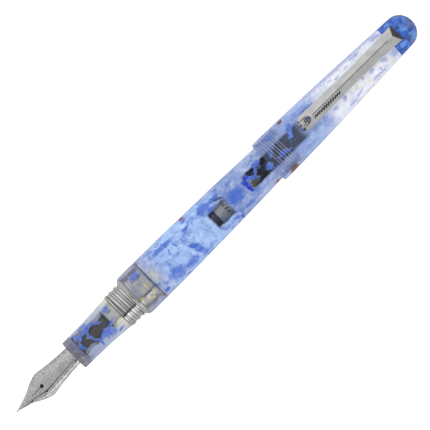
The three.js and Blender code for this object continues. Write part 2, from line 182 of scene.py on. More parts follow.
class Look(Nodes):
    """A Principled material. Its patches are (station, right of the axis, length, width) in mm, and
    may end with a slant in degrees."""

    def __init__(self, name, **values):
        self.material = bpy.data.materials.new(name)
        self.material.use_nodes = True
        super().__init__(self.material.node_tree)
        self.shader = self.tree.nodes["Principled BSDF"]
        for socket, value in values.items():
            self.set(socket.replace("_", " "), value)

    def set(self, socket, value):
        self.join(self.shader.inputs[socket], value)

    def position(self):
        """(station, across, height), fixed to the piece."""
        coords = self.node("TexCoord", out=3)
        shift = (-TIP_X / MM, 0, -AXIS_Z / MM)
        return self.node("VectorMath", coords, (1 / MM,) * 3, shift, operation="MULTIPLY_ADD")

    def noise(self, vector, scale, detail=3, roughness=0.5, out=0):
        named = {"Scale": scale, "Detail": detail, "Roughness": roughness}
        return self.node("TexNoise", vector, named=named, out=out)

    def mix(self, factor, a, b):
        made = self.tree.nodes.new("ShaderNodeMix")
        made.data_type = "RGBA"
        for index, value in ((0, factor), (6, a), (7, b)):
            self.join(made.inputs[index], value)
        return made.outputs[2]

    def tint(self, colour, mask, strength, tone):
        """The colour, drawn towards a tone where the mask is."""
        return self.mix(self.times(mask, strength), colour, tone)

    def hide(self, alpha, mask, opacity):
        """The alpha, at least as opaque as this where the mask is."""
        return self.most(alpha, self.times(mask, opacity))

    def warp(self, vector, *layers):
        """The vector pushed about by layers of (scale, reach)."""
        for scale, reach in layers:
            push = self.vector("SUBTRACT", self.noise(vector, scale, 2, out=1), (0.5, 0.5, 0.5))
            push = self.vector("MULTIPLY", push, (reach, reach, reach))
            vector = self.vector("ADD", vector, push)
        return vector

    def reach(self, vector, patch, square=False):
        """How far a point is from a patch's middle, seen from above: 1 at its edge."""
        s, right, length, width, *slant = patch
        turn = (0, 0, math.radians(*slant) if slant else 0)
        size = (length / 2, width / 2, 1e5)
        local = self.node("Mapping", vector, (s, -right, 0), turn, size, vector_type="TEXTURE")
        if not square:
            return self.vector("LENGTH", local, out=1)
        parts = self.split(self.vector("ABSOLUTE", local))
        return self.most(parts[0], parts[1])

    def spots(self, vector, table, soft=0.35, square=False):
        """A mask of soft patches on the upper side."""
        total = 0.0
        for patch in table:
            reach = self.reach(vector, patch, square)
            total = self.most(self.step(reach, 1 + soft / 2, 1 - soft / 2), total)
        return self.times(total, self.step(self.split(vector)[2], -3.0, -1.4))

    def flakes(self, vector, table, ragged):
        """Like spots, with edges broken up by the ragged noise."""
        body = self.spots(vector, table, 1.3)
        edge = self.times(self.math("SUBTRACT", ragged, 0.5), 3.2)
        flake = self.step(self.math("ADD", body, edge), 0.22, 0.8)
        return self.times(flake, self.step(body, 0.0, 0.12))

    def shell(self, at, inner, outer, sharpness):
        """A mask between two radii, which fades towards both."""
        reach = self.vector("LENGTH", self.vector("MULTIPLY", at, (0, 1, 1)), out=1)
        thick = outer - inner
        return self.step(self.apart(reach, (inner + outer) / 2), thick / 2, thick / sharpness)

    def bump(self, height, strength):
        """A relief of 0.02 mm."""
        self.set("Normal", self.node("Bump", strength, 0.02 * MM, named={"Height": height}))


PERIWINKLE = linear(152, 176, 238)
PEARL = linear(232, 238, 252)
BLUE = linear(62, 107, 203)
ROYAL = linear(38, 82, 198)
VIVID = linear(14, 44, 190)
FAINT = linear(112, 138, 212)
DARK = linear(50, 60, 84)
OLIVE = linear(72, 74, 52)
YELLOW = linear(192, 180, 124)
RUST = linear(140, 50, 52)
AMBER = linear(98, 50, 14)
STRAW = linear(240, 232, 170)
# the colour of painted shade at hidden joints
JOINT_SHADE = linear(34, 34, 40)
UNDERSIDE = 0.8  # opacity of the resin below the axis


def marbled(name, seed, base, cover, blues, layers=(), windows=(), clear=0.015, straws=(), shade_rings=(),
            scatter=0.5, pale=0.3, haze=0.5, pales=(), mists=(), faints=(), blur=0.26):
    """Cast resin: a pale cloudy body, ragged flakes of blue, and clear windows onto what is inside.

    base and cover are the body's colour and opacity from station to station, and the underside is
    cloudy throughout. haze, pale and scatter say how much of its clouds, pearl and loose flakes show.
    layers are further flakes (colour, opacity, patches); dark rings (station, half-width) are painted
    shade.
    pales and mists veil a window, and faints and straws tint the body; a faint may also be painted shade."""
    look = Look(name, IOR=1.5)
    at = look.position()
    station, _, height = look.split(at)
    moved = look.vector("ADD", at, (seed * 37.0, seed * 11.0, seed * 23.0))
    drift = look.warp(moved, (0.16, 5.0), (0.7, 1.2))
    local = look.warp(at, (0.5, 1.2), (1.6, 0.5))
    cloud = look.noise(drift, 0.17, 4, 0.6)
    mottle = look.noise(drift, 0.55, 6, 0.65)
    grain = look.noise(look.vector("MULTIPLY", moved, (1.0, 1.4, 1.0)), 1.5, 5, 0.7)
    chips = look.noise(look.vector("ADD", drift, (50.0, 20.0, 90.0)), 0.42, 7, 0.64)

    colour = look.mix(look.step(cloud, 0.42, 0.64, 0, haze), look.along(station, base), PERIWINKLE)
    colour = look.mix(look.step(mottle, 0.5, 0.68, 0, pale), colour, PEARL)
    colour = look.mix(look.step(chips, 0.46, 0.62, 0, scatter), colour, BLUE)
    if faints:
        colour = look.tint(colour, look.flakes(local, faints, grain), 0.55, FAINT)
    blue = look.most(look.flakes(local, blues, grain), look.step(chips, 0.6, 0.64, 0, scatter))
    shade = look.mix(look.step(grain, 0.42, 0.58), ROYAL, BLUE)
    colour = look.tint(colour, blue, look.step(mottle, 0.34, 0.62, 0.74, 1.0), shade)

    alpha = look.step(mottle, 0.35, 0.65, 0.88, 1.1)
    alpha = look.times(alpha, look.along(station, cover), clamp=True)
    if windows:
        alpha = look.lerp(look.spots(local, windows, blur, square=True), alpha, clear)
    for patches, opacity in ((pales, 0.75), (mists, 0.45)):
        if patches:
            alpha = look.hide(alpha, look.spots(local, patches, 0.7), opacity)
    alpha = look.hide(alpha, blue, 0.93)
    alpha = look.most(alpha, look.step(height, -0.6, -1.8, 0, UNDERSIDE))

    for tone, opacity, patches in layers:
        flake = look.flakes(local, patches, grain)
        colour = look.mix(flake, colour, tone)
        alpha = look.hide(alpha, flake, opacity)
    if straws:
        colour = look.tint(colour, look.spots(local, straws, 1.2), 0.38, STRAW)
    # painted shade: a dark ring where the shadow of a hidden joint falls
    for shade_at, half in shade_rings:
        line = look.step(look.apart(station, shade_at), half * 1.25, half * 0.75)
        colour = look.mix(line, colour, JOINT_SHADE)
        alpha = look.hide(alpha, line, 0.85)
    look.set("Base Color", colour)
    look.set("Alpha", alpha)
    look.set("Roughness", look.step(grain, 0.3, 0.7, 0.06, 0.14))
    return look.material


def milky(name, seed, base, cover, windows=(), clear=0.02, crest=None):
    """The bore of a resin piece: paler clouds that show through from behind, open on top at the windows.

    A crest is a thread's (first station, last station, inner radius, outer radius), whose flanks are
    painted near white as a highlight."""
    look = Look(name, IOR=1.5)
    at = look.position()
    station, _, height = look.split(at)
    moved = look.vector("ADD", at, (seed * 13.0, seed * 29.0, seed * 5.0))
    drift = look.warp(moved, (0.2, 4.0), (0.9, 1.2))
    cloud = look.noise(drift, 0.22, 5, 0.6)
    tone = look.mix(look.step(cloud, 0.4, 0.62, 0, 0.5), look.along(station, base), PEARL)
    alpha = look.step(look.noise(drift, 0.45, 5, 0.6), 0.35, 0.65, 0.85, 1.1)
    alpha = look.times(alpha, look.along(station, cover), clamp=True)
    if windows:
        local = look.warp(at, (0.35, 1.0), (1.3, 0.4))
        opening = look.spots(local, windows, 0.3, square=True)
        alpha = look.lerp(look.times(opening, look.step(height, -0.5, 0.5)), alpha, clear)
    if crest:
        front, rear, inner, outer = crest
        inside = look.times(look.step(station, front, front + 0.3), look.step(station, rear, rear - 0.3))
        # painted highlight: the thread's flanks turned near white
        flank_highlight = look.times(look.shell(at, inner, outer, 4), inside)
        tone = look.mix(flank_highlight, tone, linear(246, 248, 255))
        alpha = look.hide(alpha, flank_highlight, 0.9)
    look.set("Base Color", tone)
    look.set("Alpha", alpha)
    look.set("Roughness", look.step(cloud, 0.3, 0.7, 0.2, 0.32))
    return look.material


def scaled(colour, factor, lift=0.0):
    return tuple(min(1, c * factor + lift) for c in colour[:3]) + (1.0,)


def metal(name, base, rough, brushed=0.0, scale=(0.4, 9.0, 9.0), dirt=0.12, flank_shade=None, grit=0.0):
    """Polished or brushed metal with faint cloudy wear and hairlines along the piece.

    Flank shade is a range of radii, a thread's flanks, painted near black as the shade between the
    ridges. Grit is a dark speckle, heavier towards the sides."""
    look = Look(name, Metallic=1.0)
    at = look.position()
    lines = look.noise(look.vector("MULTIPLY", at, scale), 1.0, 5, 0.7)
    cloud = look.noise(at, 0.35, 4)
    colour = look.mix(look.step(cloud, 0.35, 0.65), base, scaled(base, 1 - dirt))
    if grit:
        amount = look.step(look.math("ABSOLUTE", look.split(at)[1]), 1.9, 2.5, grit, grit + 0.3)
        specks = look.step(look.noise(at, 2.6, 2, 0.7), 0.36, 0.62, 1.0, 0.0)
        colour = look.tint(colour, specks, amount, (0.06, 0.06, 0.055, 1))
    if flank_shade:
        # painted shade: the thread's flanks turned near black, as the shade between the ridges
        colour = look.mix(look.shell(at, *flank_shade, 3.4), colour, (0.05, 0.05, 0.05, 1))
    look.set("Base Color", colour)
    spread = look.step(lines, 0.3, 0.7, rough * 0.8, rough * 1.3)
    look.set("Roughness", look.math("ADD", spread, look.step(cloud, 0.4, 0.7, 0, 0.02)))
    if brushed:
        look.bump(lines, brushed)
    return look.material


def plastic(name, base, rough, pitch=0.0, gloss=0.5):
    """Moulded plastic or rubber: a little uneven in colour and sheen, with an optional fine texture."""
    look = Look(name)
    at = look.position()
    cloud = look.noise(at, 1.5, 5, 0.6)
    look.set("Base Color", look.mix(look.step(cloud, 0.4, 0.65), base, scaled(base, 1.35, 0.004)))
    look.set("Roughness", look.step(cloud, 0.3, 0.7, rough * 0.85, rough * 1.15))
    look.set("Specular IOR Level", gloss)
    if pitch:
        look.bump(look.noise(at, pitch, 3), 0.25)
    return look.material


def clear_tube_look(band_middle, band_half):
    """Clear plastic with a dark band."""
    look = Look("clear_tube", IOR=1.49)
    at = look.position()
    away = look.apart(look.split(at)[0], band_middle)
    band = look.step(away, band_half, band_half - 0.1)
    cloud = look.noise(at, 0.8, 3)
    clear = look.mix(cloud, linear(206, 222, 240), linear(228, 236, 246))
    look.set("Base Color", look.mix(band, clear, linear(80, 82, 92)))
    look.set("Alpha", look.lerp(band, look.step(cloud, 0.3, 0.7, 0.14, 0.2), 0.8))
    look.set("Roughness", look.step(cloud, 0.3, 0.7, 0.05, 0.1))
    return look.material


STEEL_TONE = (0.62, 0.62, 0.615, 1.0)
# radii of the ring's thread flanks, where shade is painted near black
RING_FLANK_SHADE = (5.68, 5.98)
steel = metal("polished_steel", STEEL_TONE, 0.1)
threaded_steel = metal("threaded_steel", STEEL_TONE, 0.1, flank_shade=RING_FLANK_SHADE)
satin_steel = metal("satin_steel", (0.64, 0.64, 0.63, 1), 0.55, brushed=0.15)
nib_steel = metal("nib_steel", (0.61, 0.61, 0.605, 1), 0.08, brushed=0.1, scale=(2.4, 3.0, 3.0),
                  dirt=0.14, grit=0.34)
black_plating = metal("black_plating", (0.075, 0.068, 0.068, 1), 0.16, scale=(3.0, 3.0, 3.0))
black = plastic("black_plastic", linear(26, 23, 22), 0.36, gloss=0.3)
rubber = plastic("seal_rubber", linear(34, 34, 38), 0.55, pitch=6)
liner = plastic("liner_plastic", linear(206, 210, 224), 0.4)
ink_black = plastic("engraving_fill", linear(22, 20, 20), 0.5, gloss=0.2)
inlay_grey = plastic("inlay_fill", linear(70, 69, 68), 0.4)
clear_tube = clear_tube_look(80.7, 1.1)

# ---------------- mesh building


def put(name, data):
    """A new object in the scene."""
    made = bpy.data.objects.new(name, data)
    bpy.context.collection.objects.link(made)
    return made


def block(name, shape):
    """An object from points and faces in (station, across, height)."""
    points, faces = shape
    mesh = bpy.data.meshes.new(name)
    mesh.from_pydata([place(*point) for point in points], [], faces)
    return put(name, mesh)


def soften(piece, sharp):
    """Smooth shading up to a sharp angle in degrees."""
    piece.data.polygons.foreach_set("use_smooth", [True] * len(piece.data.polygons))
    piece.data.set_sharp_from_angle(angle=math.radians(sharp))


def build(name, shape, body, node, looks, zones=None, sharp=32):
    """A visible piece, riding on a body. It stands for a CAD node, unless that is None."""
    piece = block(name, shape)
    for look in looks:
        piece.data.materials.append(look)
    if zones:
        piece.data.polygons.foreach_set("material_index", zones)
    piece.data.validate()
    soften(piece, sharp)
    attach(piece, body)
    if node:
        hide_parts(node)
    return piece


def bevel(piece, width, segments, angle):
    edge = piece.modifiers.new("edges", "BEVEL")
    edge.width = width * MM
    edge.segments = segments
    edge.limit_method = "ANGLE"
    edge.angle_limit = math.radians(angle)
    edge.harden_normals = True


def loft(rows, flip=False, caps=True, wrap=True):
    """Points and faces through rows of points. Each row is a ring, or a strip if it doesn't wrap."""
    ring = len(rows[0])
    points = [point for row in rows for point in row]
    faces = []
    for a in range(len(points) - ring):
        at_end = (a + 1) % ring == 0
        if wrap or not at_end:
            b = a + 1 - ring if at_end else a + 1
            faces.append((a, a + ring, b + ring, b))
    if caps:
        faces += [tuple(range(ring)), tuple(range(len(points) - ring, len(points)))[::-1]]
    return points, [face[::-1] for face in faces] if flip else faces


def gather(shapes):
    """Several shapes as one."""
    points, faces = [], []
    for more, sides in shapes:
        faces += [tuple(len(points) + k for k in side) for side in sides]
        points += more
    return points, faces


def rounded(profile, reach=0.12, closed=True):
    """The profile with each corner replaced by a short arc. A third number, the zone, is kept."""
    count = len(profile)
    result = []
    zone = 0
    for i, point in enumerate(profile):
        zone = point[2] if len(point) > 2 else zone
        here = Vector(point[:2])
        at_end = not closed and i in (0, count - 1)
        before = Vector(profile[i - 1][:2]) - here
        after = Vector(profile[(i + 1) % count][:2]) - here
        flat = at_end or point[1] < 1e-6 or before.length < 1e-6 or after.length < 1e-6
        if flat or before.angle(after) > math.radians(155):
            result.append((here.x, here.y, zone))
            continue
        start = here + before.normalized() * min(reach, before.length * 0.45)
        end = here + after.normalized() * min(reach, after.length * 0.45)
        for k in range(4):
            t = k / 3
            p = start * (1 - t) ** 2 + here * 2 * t * (1 - t) + end * t * t
            result.append((p.x, p.y, zone))
    return result


def lathe(profile, segments=144, closed=True, shape=None):
    """Verts, faces and zones of a body of revolution: out along the outside, back along the bore."""
    verts, faces, zones, rows = [], [], [], []
    for s, r, _ in profile:
        if r < 1e-6:
            rows.append([len(verts)])
            verts.append((s, 0, 0))
            continue
        rows.append(list(range(len(verts), len(verts) + segments)))
        for k in range(segments):
            a = 2 * math.pi * k / segments
            rr = shape(s, r, a) if shape else r
            verts.append((s, rr * math.cos(a), rr * math.sin(a)))
    count = len(rows)
    for i in range(count if closed else count - 1):
        low, high = rows[i], rows[(i + 1) % count]
        for k in range(segments):
            n = (k + 1) % segments
            if len(low) == 1 and len(high) == 1:
                continue
            if len(low) == 1:
                face = (low[0], high[n], high[k])
            elif len(high) == 1:
                face = (low[k], low[n], high[0])
            else:
                face = (low[k], low[n], high[n], high[k])
            faces.append(face)
            zones.append(int(profile[i][2]))
    return verts, faces, zones


def turned(name, profile, body, node, looks, reach=0.12, segments=144, shape=None, sharp=32):
    """A turned piece. A profile that starts on the axis is open there, and any other closes on itself."""
    closed = profile[0][1] > 1e-6
    points, faces, zones = lathe(rounded(profile, reach, closed), segments, closed, shape)
    piece = build(name, (points, faces), body, node, looks, zones, sharp)
    piece.modifiers.new("normals", "WEIGHTED_NORMAL").keep_sharp = True


def run(start, end, low, high=None, steps=12):
    """Evenly spaced profile points between two stations; low is a radius, or a formula for it."""
    points = []
    for i in range(steps + 1):
        t = i / steps
        s = start + (end - start) * t
        points.append((s, low(s) if callable(low) else low + (high - low) * t))
    return points


def dome(start, end, r, steps=12):
    points = []
    for i in range(1, steps + 1):
        a = i / steps * math.pi / 2
        points.append((start + (end - start) * math.sin(a), 0 if i == steps else r * math.cos(a)))
    return points


def thread(start, end, pitch, height, crest=0.28, foot=0.54, runout=0.25, at=None):
    """A right-handed ridge as a change of radius, whose crest passes station `at` on the pen's left.

    A negative height cuts inwards from a bore."""
    at = start + pitch / 2 if at is None else at

    def shape(s, r, a):
        if not start <= s <= end:
            return r
        phase = ((s - at) / pitch - a / (2 * math.pi) + 0.5) % 1
        away = abs(phase - 0.5) * 2
        lift = 1 - smooth(away, crest, foot)
        ends = min(smooth(s, start, start + runout), 1 - smooth(s, end - runout, end))
        return r + height * lift * ends
    return shape


# ---------------- barrel

barrel_start, barrel_end = span("barrel")
BARREL_R = radius("barrel")
BARREL_TAPER = 52
BARREL_CROWN = 122
insert_start, insert_end = span("barrel_insert")
INSERT_R = radius("barrel_insert")
INSERT_BORE = 5.55
SOCKET_R = INSERT_R + 0.1
SOCKET_END = insert_end + 0.05
BORE_R = 4.5


def barrel_outside(s):
    return BARREL_R - 0.00109 * max(0, s - BARREL_TAPER) ** 1.75


BARREL_BASE = [
    (46, (168, 166, 178)), (54.6, (168, 168, 182)), (55.2, (176, 190, 222)), (58, (166, 184, 226)),
    (61, (170, 202, 254)), (76, (172, 208, 255)), (84, (152, 182, 236)), (88, (126, 150, 208)),
    (92, (146, 170, 222)), (95, (164, 186, 232)), (103, (172, 192, 234)), (129, (168, 188, 236)),
]
BARREL_COVER = [
    (46, 0.3), (54.6, 0.34), (55.2, 0.66), (58, 0.8), (76, 0.86), (84, 0.8), (94, 0.72), (103, 0.62),
    (129, 0.6),
]
BARREL_BLUES = [
    (63.4, -3.7, 7.8, 1.8), (73.5, -5.0, 2.2, 1.2), (72.5, -2.8, 3.0, 0.8), (79.9, -3.4, 4.6, 3.0),
    (71.2, 3.9, 6.0, 2.2, -64), (62.0, 4.6, 5.4, 3.0), (67.3, 5.3, 5.0, 2.0), (84.2, -3.3, 4.4, 1.6),
    (89.4, 0.8, 6.2, 4.4), (85.5, 5.3, 2.4, 0.7, -12), (100.1, -1.9, 2.8, 1.5, 15),
    (96.8, 0.6, 3.8, 1.3, -30), (102.6, 1.6, 2.2, 2.6), (98.7, -0.4, 2.8, 0.9, 48), (81.4, -1.6, 3.2, 1.2),
    (100.7, -4.7, 1.2, 0.6), (91.2, 5.0, 3.2, 0.8), (52.1, -3.6, 3.8, 1.5), (66.8, -1.6, 0.5, 2.2, 25),
    (64.4, -1.2, 0.4, 2.0, -20), (105.5, -1.0, 3.0, 1.2, 30), (109.0, 1.6, 3.4, 1.2, -20),
    (56.4, 5.8, 2.0, 1.0),
]
BARREL_VIVIDS = [
    (95.0, -0.9, 2.0, 1.5, 35), (94.0, 0.8, 1.8, 3.4), (94.3, 2.6, 1.0, 2.0), (87.0, 6.2, 0.9, 0.7),
]
BARREL_DARKS = [(49.8, 4.6, 2.0, 1.0, 30), (52.0, 5.6, 2.4, 0.8), (53.8, 4.4, 1.2, 0.7)]
BARREL_OLIVES = [(96.2, 2.0, 3.0, 1.9)]
BARREL_YELLOWS = [
    (49.3, 2.9, 1.3, 1.0), (51.8, 4.6, 1.4, 0.9), (53.6, 3.4, 0.9, 1.0), (52.7, 0.9, 0.5, 2.0, 15),
]
BARREL_STROKES = [(84.7, -2.5, 2.0, 0.7, -36), (85.9, -2.1, 1.6, 0.6, -36), (85.5, -0.9, 0.7, 1.6, 10)]
BARREL_RUSTS = [(73.5, -5.95, 1.9, 0.9), (101.2, 6.1, 2.2, 0.7)]
BARREL_PALES = [(51.2, -6.4, 8.0, 2.0), (51.2, 6.6, 8.0, 1.6)]
BARREL_WINDOWS = [(83.0, 1.45, 6.9, 5.4), (108.3, 0.5, 27.2, 5.4)]
BARREL_STRAWS = [(56.4, 0.8, 2.4, 5.0), (64.0, 6.3, 1.2, 0.6), (52.4, 1.2, 3.6, 2.0), (51.5, 4.6, 6.0, 2.0)]
BARREL_FAINTS = [
    (71.6, -1.2, 4.6, 1.9), (76.6, -5.2, 3.0, 1.2), (59.0, -5.4, 3.4, 0.9), (75.0, 5.8, 3.0, 0.8),
]
BARREL_LAYERS = [
    (YELLOW, 0.7, BARREL_YELLOWS), (DARK, 0.8, BARREL_DARKS + BARREL_STROKES),
    (OLIVE, 0.85, BARREL_OLIVES), (VIVID, 1.0, BARREL_VIVIDS), (RUST, 0.9, BARREL_RUSTS),
]
# At the socket's end the barrel gets a ring of painted shade: the shadow gap behind the steel insert.
barrel_skin = marbled("barrel_resin", 1, BARREL_BASE, BARREL_COVER, BARREL_BLUES, BARREL_LAYERS,
                      BARREL_WINDOWS, straws=BARREL_STRAWS, shade_rings=[(SOCKET_END, 0.12)], pales=BARREL_PALES,
                      faints=BARREL_FAINTS, haze=0.26, scatter=0.5, pale=0.36)
BARREL_BORE_BASE = [(46, (170, 170, 180)), (55, (186, 206, 250)), (129, (186, 206, 250))]
BARREL_BORE_COVER = [(46, 0.0), (54.8, 0.0), (55.0, 0.7), (129, 0.7)]
barrel_bore = milky("barrel_bore", 3, BARREL_BORE_BASE, BARREL_BORE_COVER, BARREL_WINDOWS)

turned("barrel_shell", [
    (barrel_start, SOCKET_R, 0), (barrel_start, BARREL_R - 0.02),
    *run(barrel_start + 1.5, 55, BARREL_R, BARREL_R, 3), *run(56.5, BARREL_CROWN, barrel_outside, steps=40),
    *dome(BARREL_CROWN, barrel_end, barrel_outside(BARREL_CROWN)),
    (123.4, 0, 1), (122.6, BORE_R * 0.7), (121, BORE_R), (SOCKET_END, BORE_R), (SOCKET_END, SOCKET_R),
], "barrel", "barrel", [barrel_skin, barrel_bore], reach=0.18)

insert_thread = thread(49, 54, 1.5, -0.25)
groove = insert_start + 1.0
turned("barrel_insert_steel", [
    (insert_start, INSERT_BORE), (insert_start, INSERT_R), (groove - 0.1, INSERT_R),
    (groove, INSERT_R - 0.12), (groove + 0.5, INSERT_R - 0.12), (groove + 0.6, INSERT_R),
    (insert_end - 0.5, INSERT_R), (insert_end - 0.2, INSERT_R - 0.15), (insert_end, INSERT_R - 0.15),
    (insert_end, INSERT_BORE), *run(insert_end - 0.3, insert_start + 0.3, INSERT_BORE, INSERT_BORE, 60),
], "barrel", "barrel_insert", [steel], reach=0.06, segments=120,
    shape=lambda s, r, a: insert_thread(s, r, a) if r < INSERT_BORE + 0.05 else r)

# ---------------- section

grip_start, grip_end = span("grip")
collar_start, collar_end = span("nib_collar")
COLLAR_R = radius("nib_collar")
GRIP_MOUTH = 4.98
NIB_BORE = 3.6
GRIP_OUTLINE = [(grip_start, 4.98), (29, 5.03), (32, 5.08), (35, 5.22), (38, 5.45), (grip_end, 5.7)]
GRIP_BASE = [
    (23.3, (122, 112, 112)), (24.2, (112, 110, 120)), (25.6, (106, 108, 128)), (26.0, (112, 128, 186)),
    (26.3, (166, 178, 208)), (37.8, (196, 206, 226)), (41.5, (222, 220, 208)),
]
GRIP_COVER = [(23.3, 0.72), (26.0, 0.7), (26.3, 0.05), (37.8, 0.05), (38.0, 0.3), (41.5, 0.3)]
GRIP_BLUES = [
    (31.4, -2.5, 6.0, 1.2, 8), (34.5, -1.8, 2.8, 1.0, -35), (28.2, -1.8, 3.6, 1.2, 35),
    (27.0, 0.3, 1.2, 2.4, 10), (30.9, 0.8, 0.8, 2.9, 25), (32.1, 3.1, 0.8, 2.6, 10),
    (30.4, -0.9, 2.2, 0.6, 40), (33.6, 2.6, 3.0, 0.7, 10), (35.3, 1.7, 3.6, 1.0, 15),
    (36.4, 3.2, 2.8, 2.2, 10), (33.4, 2.2, 2.4, 0.6, 25), (39.3, -2.7, 2.6, 1.3), (38.3, 1.3, 2.2, 1.0),
    (30.6, -4.0, 3.0, 1.0), (27.4, -3.0, 1.6, 1.6), (39.0, 4.4, 2.0, 0.7), (35.6, 2.6, 3.8, 2.6),
]
GRIP_PALES = [(34.6, -4.5, 17.4, 3.0), (34.6, 4.6, 17.4, 3.4), (28.6, 3.4, 4.6, 1.6), (40.2, 3.6, 3.4, 3.6)]
GRIP_MISTS = [(29.0, -2.4, 5.4, 1.8), (34.6, -2.7, 6.4, 1.5), (28.8, 2.3, 4.6, 1.3)]
GRIP_STRAWS = [(40.0, -5.0, 3.4, 1.8), (39.6, 2.6, 3.4, 2.6)]
# At the collar's front the grip gets a ring of painted shade: the shadow of the hidden joint.
grip_skin = marbled("grip_resin", 6, GRIP_BASE, GRIP_COVER, GRIP_BLUES, straws=GRIP_STRAWS,
                    shade_rings=[(collar_start - 0.1, 0.05)], scatter=0.12, pale=0.2, haze=0.2,
                    pales=GRIP_PALES, mists=GRIP_MISTS)
GRIP_BORE_BASE = [(23, (190, 196, 222)), (42, (220, 220, 214))]
grip_bore = milky("grip_bore", 7, GRIP_BORE_BASE, [(23, 0.05), (42, 0.05)])

turned("grip_shell", [
    (grip_start, NIB_BORE, 0), (grip_start, GRIP_MOUTH),
    *run(grip_start + 0.8, grip_end, lambda s: between(GRIP_OUTLINE, s)[0], steps=30),
    (grip_end, COLLAR_R + 0.1, 1), (collar_start - 0.05, COLLAR_R + 0.1), (collar_start - 0.05, NIB_BORE),
], "section", "grip", [grip_skin, grip_bore], reach=0.3)

turned("collar", [
    (collar_start, 3.45), (collar_start, COLLAR_R), (37.0, COLLAR_R), (37.2, COLLAR_R - 0.25),
    (37.6, COLLAR_R - 0.25), (37.7, COLLAR_R), (37.9, COLLAR_R), (37.9, 2.1), (collar_end - 0.3, 2.1),
    (collar_end, 1.8), (collar_end, 0.9), (35, 0.9), (35, 3.45),
], "section", "nib_collar", [black_plating], reach=0.1)

ring_start, ring_end = span("thread_ring")
RING_BORE = 3.9
RING_THREADED_R = 5.66
TENON_R = 4.9
ring_front = grip_end + 0.05
cap_thread = thread(42.3, 46.85, 1.75, 0.42, crest=0.22, foot=0.56, runout=0.1, at=43.6)
joint_thread = thread(48.9, 54.0, 1.5, 0.3)


def ring_shape(s, r, a):
    if r < RING_BORE + 0.5:
        return r
    return joint_thread(s, cap_thread(s, r, a), a)


turned("threaded_ring", [
    (ring_start, RING_BORE), (ring_start, COLLAR_R), (ring_front, COLLAR_R), (ring_front, 5.78),
    (ring_front + 0.2, 5.98), (42.2, 5.98), (42.3, RING_THREADED_R),
    *run(42.35, 46.8, RING_THREADED_R, RING_THREADED_R, 96), (46.85, 6.05), (47.8, 6.95), (48.1, 6.97),
    (48.1, TENON_R), *run(48.9, 54.0, TENON_R, TENON_R, 60), (54.3, TENON_R), (ring_end, TENON_R - 0.25),
    (ring_end, RING_BORE),
], "section", "thread_ring", [threaded_steel], reach=0.07, segments=192,
    shape=ring_shape, sharp=40)

# ---------------- nib

# Rows of (station, half-width, height of the crown, radius of curvature).
NIB_OUTLINE = [
    (0.86, 0.36, 1.15, 1.2), (3, 0.9, 1.62, 1.9), (5.9, 2, 2.2, 2.9), (8.8, 3.4, 2.65, 4.5),
    (11.2, 4.14, 2.95, 5.2), (13.5, 3.92, 3.12, 4.9), (16.4, 3.57, 3.22, 4.6), (19.3, 3.3, 3.25, 4.3),
    (23, 3.08, 3.25, 3.9), (25.6, 3, 3.25, 3.25), (34.5, 3, 3.25, 3.25),
]
NIB_TIP, NIB_REAR = NIB_OUTLINE[0][0], NIB_OUTLINE[-1][0]
NIB_THICKNESS = 0.3
NIB_STEP = 0.16
BREATHER = 10.6
BREATHER_R = 0.58
SLIT_HALF = 0.075
SLIT_TIP_HALF = 0.012
BEAD_PITCH = 0.83
BEAD_ANGLE = math.radians(26.5)


def nib_row(s):
    """Half-width, height of the crown and radius of curvature at a station, on a smooth curve."""
    rows = NIB_OUTLINE
    i = next((k for k in range(1, len(rows)) if s <= rows[k][0]), len(rows) - 1)
    p1, p2 = rows[i - 1], rows[i]
    p0, p3 = rows[max(i - 2, 0)], rows[min(i + 1, len(rows) - 1)]
    gap = p2[0] - p1[0]
    t = min(1, max(0, (s - p1[0]) / gap))
    result = []
    for k in (1, 2, 3):
        leaving = (p2[k] - p0[k]) / (p2[0] - p0[0]) * gap
        arriving = (p3[k] - p1[k]) / (p3[0] - p1[0]) * gap
        result.append(
            (2 * t**3 - 3 * t**2 + 1) * p1[k] + (t**3 - 2 * t**2 + t) * leaving
            + (3 * t**2 - 2 * t**3) * p2[k] + (t**3 - t**2) * arriving
        )
    return result


def nib_inner_edge(s):
    """Half the opening along the middle: the slit, then the breather hole, then nothing."""
    away = abs(s - BREATHER)
    if away < BREATHER_R:
        hole = math.sqrt(BREATHER_R**2 - away**2)
        return max(hole, SLIT_HALF) if s < BREATHER else hole
    return SLIT_TIP_HALF + (SLIT_HALF - SLIT_TIP_HALF) * smooth(s, 4.5, 7.5) if s < BREATHER else 0.0


def engraved(s, share):
    """Depth of the generic engraving: border lines inside each edge, with fine notches between them."""
    inside = smooth(s, 5.5, 7.0) * (1 - smooth(s, 22.0, 22.8))
    lines = sum(math.exp(-(((share - at) / 0.02) ** 2)) for at in (0.56, 0.9))
    notch = smooth(share, 0.58, 0.62) * (1 - smooth(share, 0.84, 0.88))
    notch *= 0.5 + 0.5 * math.cos(s * 2 * math.pi / 0.62) * math.cos(share * 2 * math.pi / 0.11)
    return 0.05 * inside * min(1, lines + 0.7 * notch)


def border_flat(s, angle, curve):
    """Depth of the narrow flat along each flank, waisted into beads."""
    inside = smooth(s, 4.5, 6.5) * (1 - smooth(s, 22.6, 23.2))
    reach = 0.54 + 0.2 * math.cos(s * 2 * math.pi / BEAD_PITCH)
    away = curve * (angle - BEAD_ANGLE) / reach
    return inside * 1.15 * reach**2 / (2 * curve) * math.exp(-away**2)


